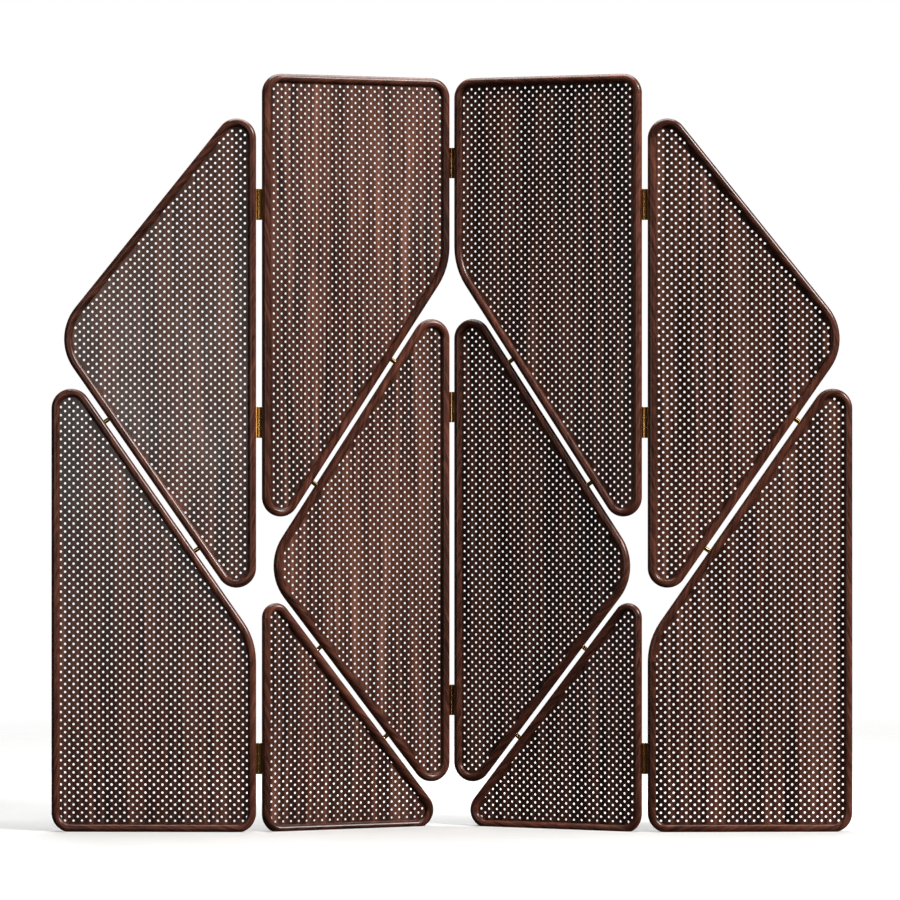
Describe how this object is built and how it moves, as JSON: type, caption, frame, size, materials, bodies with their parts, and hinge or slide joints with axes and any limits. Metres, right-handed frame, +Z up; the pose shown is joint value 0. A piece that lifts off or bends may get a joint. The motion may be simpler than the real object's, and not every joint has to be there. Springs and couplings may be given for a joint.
{
  "type": "mashrabiya folding screen",
  "caption": "Free-standing folding screen of hinged leaves, each made of rounded hardwood frames round thin boards pierced with small round holes.",
  "frame": {"origin": "on the floor, at the middle of the open screen's footprint", "axes": "+X across the screen to the viewer's right, +Y to the back, +Z up; the front faces -Y"},
  "size_m": [1.9018, 0.2238, 1.8],
  "materials": {
    "frame_wood": "dark red-brown hardwood, oiled to a soft gloss",
    "board_wood": "dark striped hardwood, satin, pierced with round holes",
    "brass": "turned and brushed brass, slightly tarnished"
  },
  "bodies": {
    "inner_left_leaf": {"inner_left_top_frame": "frame_wood", "inner_left_top_board": "board_wood", "inner_left_middle_frame": "frame_wood", "inner_left_middle_board": "board_wood", "inner_left_bottom_frame": "frame_wood", "inner_left_bottom_board": "board_wood", "inner_left_pin_1": "brass", "inner_left_pin_2": "brass", "inner_left_pin_3": "brass", "inner_left_pin_4": "brass", "left_hinge_1_inner_plate": "brass", "left_hinge_1_pin": "brass", "centre_hinge_1_left_plate": "brass", "centre_hinge_1_pin": "brass", "left_hinge_2_inner_plate": "brass", "left_hinge_2_pin": "brass", "centre_hinge_2_left_plate": "brass", "centre_hinge_2_pin": "brass", "left_hinge_3_inner_plate": "brass", "left_hinge_3_pin": "brass", "centre_hinge_3_left_plate": "brass", "centre_hinge_3_pin": "brass"},
    "outer_left_leaf": {"outer_left_upper_frame": "frame_wood", "outer_left_upper_board": "board_wood", "outer_left_lower_frame": "frame_wood", "outer_left_lower_board": "board_wood", "outer_left_pin_1": "brass", "outer_left_pin_2": "brass", "left_hinge_1_outer_plate": "brass", "left_hinge_2_outer_plate": "brass", "left_hinge_3_outer_plate": "brass"},
    "inner_right_leaf": {"inner_right_top_frame": "frame_wood", "inner_right_top_board": "board_wood", "inner_right_middle_frame": "frame_wood", "inner_right_middle_board": "board_wood", "inner_right_bottom_frame": "frame_wood", "inner_right_bottom_board": "board_wood", "inner_right_pin_1": "brass", "inner_right_pin_2": "brass", "inner_right_pin_3": "brass", "inner_right_pin_4": "brass", "right_hinge_1_inner_plate": "brass", "right_hinge_1_pin": "brass", "centre_hinge_1_right_plate": "brass", "right_hinge_2_inner_plate": "brass", "right_hinge_2_pin": "brass", "centre_hinge_2_right_plate": "brass", "right_hinge_3_inner_plate": "brass", "right_hinge_3_pin": "brass", "centre_hinge_3_right_plate": "brass"},
    "outer_right_leaf": {"outer_right_upper_frame": "frame_wood", "outer_right_upper_board": "board_wood", "outer_right_lower_frame": "frame_wood", "outer_right_lower_board": "board_wood", "outer_right_pin_1": "brass", "outer_right_pin_2": "brass", "right_hinge_1_outer_plate": "brass", "right_hinge_2_outer_plate": "brass", "right_hinge_3_outer_plate": "brass"}
  },
  "joints": [
    {"name": "left_fold", "type": "hinge", "parent": "inner_left_leaf", "child": "outer_left_leaf", "pos_m": [-0.4568, -0.10141, 0.9], "axis": [0, 0, -1], "range_deg": [-26.1, 73.9]},
    {"name": "centre_fold", "type": "hinge", "parent": "inner_left_leaf", "child": "inner_right_leaf", "pos_m": [0, 0.10677, 0.9], "axis": [0, 0, -1], "range_deg": [-49, 51]},
    {"name": "right_fold", "type": "hinge", "parent": "inner_right_leaf", "child": "outer_right_leaf", "pos_m": [0.4568, -0.10141, 0.9], "axis": [0, 0, 1], "range_deg": [-26.1, 73.9]}
  ]
}
